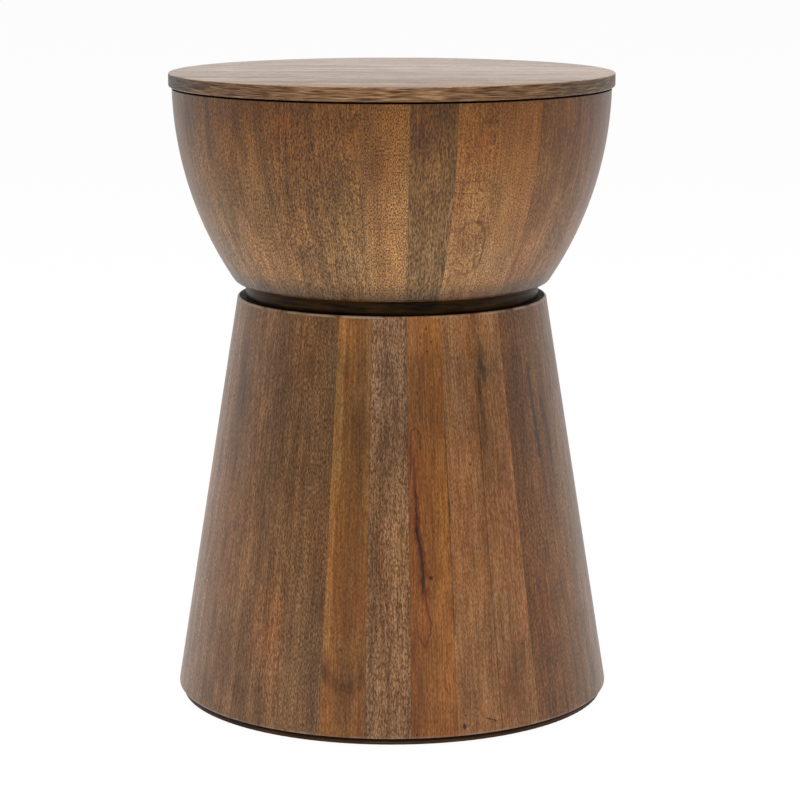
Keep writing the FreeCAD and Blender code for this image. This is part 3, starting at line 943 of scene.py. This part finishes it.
bowlMarks = [
    stroke([(19.0, 0.4505), (20.6, 0.4575), (23.0, 0.4595), (25.6, 0.4575)], 0.0022, "rust", 0.45),
    spot(24.6, 0.4585, 0.0070, 0.0030, "russet", 0.9, soft=0.9, ragged=1.3),
    stroke([(26.3, 0.4545), (27.5, 0.4435), (27.6, 0.4335), (27.4, 0.4225),
            (27.0, 0.4165)], 0.0014, "rust", 0.6),
    stroke([(24.3, 0.446), (25.1, 0.434), (25.9, 0.4168)], 0.0022, "rust", 0.55),
    stroke([(20.0, 0.4145), (23.0, 0.4110), (26.0, 0.4150)], 0.0024, "rust", 0.4),
    stroke([(22.2, 0.446), (22.9, 0.427)], 0.0010, "rust", 0.4),
    stroke([(20.6, 0.444), (21.2, 0.425)], 0.0010, "rust", 0.4),
    stroke([(23.3, 0.447), (23.9, 0.428)], 0.0010, "rust", 0.4),
    spot(26.5, 0.436, 0.0028, 0.014, "pale", 0.6, soft=0.9, ragged=1.0),
    stroke([(26.2, 0.5345), (26.4, 0.5272)], 0.0014, "rust", 0.9),
    spot(25.4, 0.5466, 0.0095, 0.0040, "russet", 0.85, ragged=0.8),
    stroke([(16.6, 0.4954), (20.4, 0.4950), (25.8, 0.4956)], 0.0009, "rust", 0.6),
    stroke([(16.6, 0.4855), (23.0, 0.4842)], 0.0009, "rust", 0.6),
    band(4.6, 16.2, 0.52, 0.58, "shade", 0.22, 0.2),
    band(-8.2, -3.2, 0.465, 0.60, "dim", 0.9, 0.28),
    wash(0.8, 0.445, 0.013, 0.048, "pale", 0.65),
    wash(7.0, 0.560, 0.013, 0.024, "pale", 0.9),
    wash(7.5, 0.480, 0.012, 0.022, "pale", 0.7),
    wash(7.3, 0.425, 0.011, 0.020, "dim", 0.5),
    wash(10.5, 0.528, 0.020, 0.020, "shade", 0.42),
    wash(13.6, 0.550, 0.011, 0.024, "shade", 0.65),
    wash(24.0, 0.525, 0.024, 0.030, "blush", 0.6),
    wash(34.0, 0.420, 0.022, 0.026, "mist", 0.9, 0.9),
    wash(46.0, 0.420, 0.024, 0.034, "rose", 1.0, 0.9),
    wash(-40.0, 0.416, 0.034, 0.036, "rose", 1.0, 0.9),
    wash(-25.0, 0.420, 0.016, 0.032, "dim", 0.8),
    wash(-13.0, 0.418, 0.019, 0.036, "mist", 0.8),
    wash(-13.0, 0.418, 0.019, 0.036, "dim", 0.15),
    wash(-24.0, 0.430, 0.016, 0.034, "mist", 0.5),
    wash(-42.0, 0.430, 0.044, 0.040, "pale", 0.55),
    wash(-13.5, 0.490, 0.018, 0.070, "smoke", 0.35),
    wash(10.4, 0.412, 0.018, 0.032, "dim", 0.3),
    wash(22.4, 0.478, 0.016, 0.030, "pale", 0.5),
    wash(55.5, 0.525, 0.012, 0.050, "shade", 0.85, 0.9),
    wash(45.0, 0.428, 0.030, 0.030, "pale", 0.75),
    wash(47.0, 0.500, 0.026, 0.060, "shade", 0.3),
    wash(57.0, 0.510, 0.020, 0.050, "gold", 0.9),
    wash(7.0, 0.548, 0.011, 0.020, "blush", 0.9),
    wash(71.0, 0.418, 0.030, 0.032, "dim", 0.7),
    wash(-12.5, 0.505, 0.011, 0.045, "smoke", 0.35),
    wash(-63.0, 0.500, 0.022, 0.040, "pale", 0.55),
    wash(-65.0, 0.548, 0.008, 0.014, "smoke", 0.7, 0.9),
    spot(-28.0, 0.470, 0.050, 0.036, "smoke", 1.0, soft=0.8, hair=True),
    spot(11.0, 0.465, 0.018, 0.040, "shade", 0.6, soft=0.8, hair=True),
    spot(-27.8, 0.545, 0.0125, 0.019, "blush", 0.9, soft=0.95, ragged=1.0),
    spot(-24.5, 0.520, 0.0100, 0.016, "blush", 0.6, soft=0.95, ragged=1.0),
    spot(-36.3, 0.541, 0.0036, 0.016, "smoke", 0.65, soft=0.9, ragged=1.0),
    spot(-15.0, 0.514, 0.0130, 0.022, "blush", 0.7, soft=0.95, ragged=1.0),
    spot(-12.0, 0.545, 0.0160, 0.018, "shade", 0.7, soft=0.95, ragged=1.0),
    spot(112.0, 0.470, 0.0080, 0.0045, "russet", 0.8, ragged=1.2),
    stroke([(110.2, 0.4620), (112.0, 0.4665), (114.2, 0.4640)], 0.0020, "rust", 0.5),
    wash(165.0, 0.520, 0.020, 0.030, "blush", 0.6),
    wash(208.0, 0.440, 0.018, 0.034, "smoke", 0.45),
    stroke([(236.5, 0.520), (236.8, 0.500)], 0.0014, "rust", 0.8),
    wash(262.0, 0.500, 0.024, 0.040, "pale", 0.5),
    wash(-48.0, 0.515, 0.028, 0.048, "gold", 1.0, 0.9),
]

bowlPieces = buildStaves(bowlStaves, bowlBlank, bowlGrain, bowlToneOrder, bowlMarks, **bowlStaves["figure"])
discard(bowlBlank)
print("bowl staves", len(bowlPieces))


# top boards

topBoards = {
    "count": 6,
    "radius": 0.203,
    "turn": 2.5,                 # degrees that the boards lie off the X axis
    "upperEase": 0.0012,
    "lowerEase": 0.0020,
    "grainPace": 1.7,            # how short the figure runs along the boards
    "rimLayers": 1.60,           # how close the layers lie on the rim
    "rimPace": 1.3,
    "rimSlope": 0.6,             # upward share of the normal, under which a face belongs to the rim
    "rimReach": 0.003,           # how far in from the outline the rim's faces lie
    # from the front board to the back one
    "tones": ("walnut", "husk", "bark", "walnut", "husk", "bark"),
    "lacquer": (0.52, 0.52, 0.52, 0.50, 0.37, 0.22),
    "darkLacquer": 0.02,         # how much of it the dark grain holds
    "seed": 90.0,
    "figure": {"wander": 0.006, "joint": 0.5, "shine": 0.15, "gloss": (0.24, 0.33), "streak": 0.80,
               "cloud": 0.26, "relief": 0.10},
    "rimSeed": 110.0,
    "rimFigure": {"wander": 0.004, "joint": 0.3, "streak": 0.20, "cloud": 0.20, "pores": 0.1,
                  "lacquer": (0.26, 0.22), "endGrain": 0.9},
    # painted shade on the left of the rim
    "rimMarks": [wash(-74.0, 0.571, 0.060, 0.120, "smoke", 1.0, 0.9)],
    "sides": 288,
}


def modelTopDisc(plan):
    piece, bottom, top = turnDisc("topDisc", plan, "top_board_1")
    easeEdge(piece, top, plan["upperEase"], 3)
    easeEdge(piece, bottom, plan["lowerEase"], 5)
    return piece, top


def sawBoard(disc, plan, index, top):
    # one board of the round top, with its grain along the board
    piece = copyPiece(disc, f"topBoard{index + 1}")
    width = 2 * plan["radius"] / plan["count"]
    back = Vector((math.sin(math.radians(plan["turn"])), math.cos(math.radians(plan["turn"])), 0.0))
    side = Vector((back.y, -back.x, 0.0))
    for edge, keepBeyond in ((index, True), (index + 1, False)):
        if 0 < edge < plan["count"]:
            openMesh(piece)
            bpy.ops.mesh.select_all(action="SELECT")
            bpy.ops.mesh.bisect(plane_co=back * (edge * width - plan["radius"]), plane_no=back,
                                use_fill=True, clear_inner=keepBeyond, clear_outer=not keepBeyond)
            closeMesh()
    tidyMesh(piece)
    grain = piece.data.uv_layers.new(name="grain")
    across = piece.data.attributes.new("across", "FLOAT", "POINT")
    endGrain = piece.data.attributes.new("endGrain", "FLOAT", "FACE")
    middle = (index + 0.5) * width - plan["radius"]
    for vert in piece.data.vertices:
        across.data[vert.index].value = (vert.co.dot(back) - middle) / (width / 2)
    for face in piece.data.polygons:
        upright = abs(face.normal.z) < plan["rimSlope"]
        onRim = upright and face.center.xy.length > plan["radius"] - plan["rimReach"]
        face.material_index = int(onRim)
        endGrain.data[face.index].value = abs(face.normal.dot(side))
        for loop in face.loop_indices:
            place = piece.data.vertices[piece.data.loops[loop].vertex_index].co
            if onRim:                            # layers run level round the rim
                arc = plan["radius"] * math.atan2(place.dot(side), abs(place.dot(back)))
                grain.data[loop].uv = (plan["rimLayers"] * (place.z - top), plan["rimPace"] * arc)
            else:
                grain.data[loop].uv = (place.dot(back), plan["grainPace"] * place.dot(side))
    return piece


def rimGrain(angle, height):
    around = topBoards["radius"] * math.radians(angle)
    return topBoards["rimLayers"] * (height - topTop), topBoards["rimPace"] * around, 0.0


def buildTopBoards(plan, disc, top):
    pieces = []
    for index in range(plan["count"]):
        piece = sawBoard(disc, plan, index, top)
        wood = timberMaterial(piece.name + "Wood", plan["tones"][index], plan["seed"] + index,
                              lacquer=(plan["lacquer"][index], plan["darkLacquer"]), **plan["figure"])
        rim = timberMaterial(piece.name + "Rim", "layered", plan["rimSeed"] + index, rimGrain,
                             marks=plan["rimMarks"], **plan["rimFigure"])
        piece.data.materials.append(wood)
        piece.data.materials.append(rim)
        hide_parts(f"top_board_{index + 1}")
        pieces.append(piece)
    return pieces


topDisc, topTop = modelTopDisc(topBoards)
topPieces = buildTopBoards(topBoards, topDisc, topTop)
discard(topDisc)
print("top boards", len(topPieces))


# neck

neck = {"radius": 0.1345, "ease": 0.0008, "sides": 256}


def buildNeck(plan):
    piece, bottom, top = turnDisc("neckDisc", plan, "neck_disc")
    for level in (top, bottom):
        easeEdge(piece, level, plan["ease"], 3)
    tidyMesh(piece)
    piece.data.materials.append(neckStain)
    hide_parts("neck_disc")
    return piece


neckPiece = buildNeck(neck)
print("neck ready")


# felt glides under the foot ring

feltGlides = {"count": 5, "radius": 0.010, "circle": 0.183, "firstAngle": 29.0, "ease": 0.0007, "sides": 64}


def buildGlides(plan):
    pieces = []
    blank, bottom = turnDisc("feltBlank", plan, "felt_glides", plan["circle"])[:2]
    easeEdge(blank, bottom, plan["ease"], 4)
    tidyMesh(blank)
    blank.data.materials.append(greyFelt)
    for index in range(plan["count"]):
        angle = plan["firstAngle"] + index * 360.0 / plan["count"]
        piece = placeCopy(blank, f"feltGlide{index + 1}", angle)
        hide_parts("felt_glides")
        pieces.append(piece)
    discard(blank)
    return pieces


glidePieces = buildGlides(feltGlides)
print("felt glides", len(glidePieces))


# pieces kept from the frame

def dressNode(name, material):
    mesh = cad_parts[name].data
    mesh.materials.clear()
    mesh.materials.append(material)


for nodeName, finish in (("foot_ring", footStainAndShadow), ("bowl_floor", rawBoard), ("base_head", rawBoard),
                         ("neck_screws", screwZinc), ("foot_screws", screwZinc), ("top_dowels", rawBoard)):
    dressNode(nodeName, finish)

for piece in basePieces + bowlPieces + topPieces + glidePieces + [neckPiece]:
    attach(piece, "root")


# floor, light and camera

studio = {
    "floorSize": 60.0,
    "floorColour": (0.9, 0.9, 0.9),
    "floorGlow": 0.95,           # share of the floor that shows as plain white
    "floorLight": 0.27,          # light that the lit floor gives off
    "skyLevel": 0.16,            # light that the surround gives off
    "dimBehind": (-0.45, 0.05),  # directions along Y between which the room dims behind the camera
    "cameraDistance": 2.5919,
    "cameraHeight": 0.7493,
    "pitch": 10.411,             # degrees down
    "aim": 0.164,                # degrees right of the axis
    "lens": 127.66,
    "sensor": 36.0,
    "farthest": 200.0,
}


def brightRays(tree, share=1.0):
    # rays that see plain white; share is how much of it shows in reflections
    path = tree.nodes.new("ShaderNodeLightPath").outputs
    mirrored = calc(tree, "MULTIPLY", path["Is Glossy Ray"], share)
    seen = calc(tree, "MAXIMUM", path["Is Camera Ray"], mirrored)
    return calc(tree, "MAXIMUM", seen, path["Is Transmission Ray"])


def buildFloor(plan):
    clearSelection()
    bpy.ops.mesh.primitive_plane_add(size=plan["floorSize"])
    floor = takeActive("floor")
    material, tree, shader = newMaterial("paleFloor")
    tree.nodes.remove(shader)
    matte = tree.nodes.new("ShaderNodeBsdfDiffuse")
    matte.inputs["Color"].default_value = colour(plan["floorColour"])
    panel = tree.nodes.new("ShaderNodeEmission")
    panel.inputs["Strength"].default_value = plan["floorLight"]
    lit = tree.nodes.new("ShaderNodeAddShader")
    tree.links.new(matte.outputs[0], lit.inputs[0])
    tree.links.new(panel.outputs[0], lit.inputs[1])
    glow = tree.nodes.new("ShaderNodeEmission")
    mixed = tree.nodes.new("ShaderNodeMixShader")
    feed(tree, mixed.inputs[0], calc(tree, "MULTIPLY", brightRays(tree), plan["floorGlow"]))
    tree.links.new(lit.outputs[0], mixed.inputs[1])
    tree.links.new(glow.outputs[0], mixed.inputs[2])
    tree.links.new(mixed.outputs[0], tree.nodes["Material Output"].inputs["Surface"])
    floor.data.materials.append(material)


def buildSky(plan):
    world = bpy.data.worlds.new("studioSky")
    bpy.context.scene.world = world
    world.use_nodes = True
    tree = world.node_tree
    back = tree.nodes["Background"]
    back.inputs["Color"].default_value = (1.0, 1.0, 1.0, 1.0)
    way = tree.nodes.new("ShaderNodeTexCoord").outputs["Generated"]
    backdrop = between(tree, axisValue(tree, way, "Y"), *plan["dimBehind"])
    level = between(tree, brightRays(tree, backdrop), 0.0, 1.0, plan["skyLevel"], 1.0)
    feed(tree, back.inputs["Strength"], level)


softboxes = {
    "over": {"place": (0.0, 0.0, 6.0), "size": 4.8, "power": 260.0},
    "front": {"place": (0.0, -3.6, 3.9), "size": 3.6, "power": 105.0},
}


def buildLamps(plan):
    target = Vector((0.0, 0.0, 0.3))
    for name, box in plan.items():
        lamp = bpy.data.lights.new(name, "AREA")
        lamp.size = box["size"]
        lamp.energy = box["power"]
        holder = bpy.data.objects.new(name, lamp)
        holder.location = box["place"]
        holder.rotation_euler = (target - holder.location).to_track_quat("-Z", "Y").to_euler()
        bpy.context.scene.collection.objects.link(holder)


def buildCamera(plan):
    lens = bpy.data.cameras.new("view")
    lens.lens = plan["lens"]
    lens.sensor_width = plan["sensor"]
    lens.clip_end = plan["farthest"]
    holder = bpy.data.objects.new("view", lens)
    holder.location = (0.0, -plan["cameraDistance"], plan["cameraHeight"])
    holder.rotation_euler = (math.radians(90.0 - plan["pitch"]), 0.0, -math.radians(plan["aim"]))
    bpy.context.scene.collection.objects.link(holder)
    bpy.context.scene.camera = holder


buildFloor(studio)
buildSky(studio)
buildLamps(softboxes)
buildCamera(studio)
bpy.context.scene.view_settings.view_transform = "Standard"
print("studio ready")
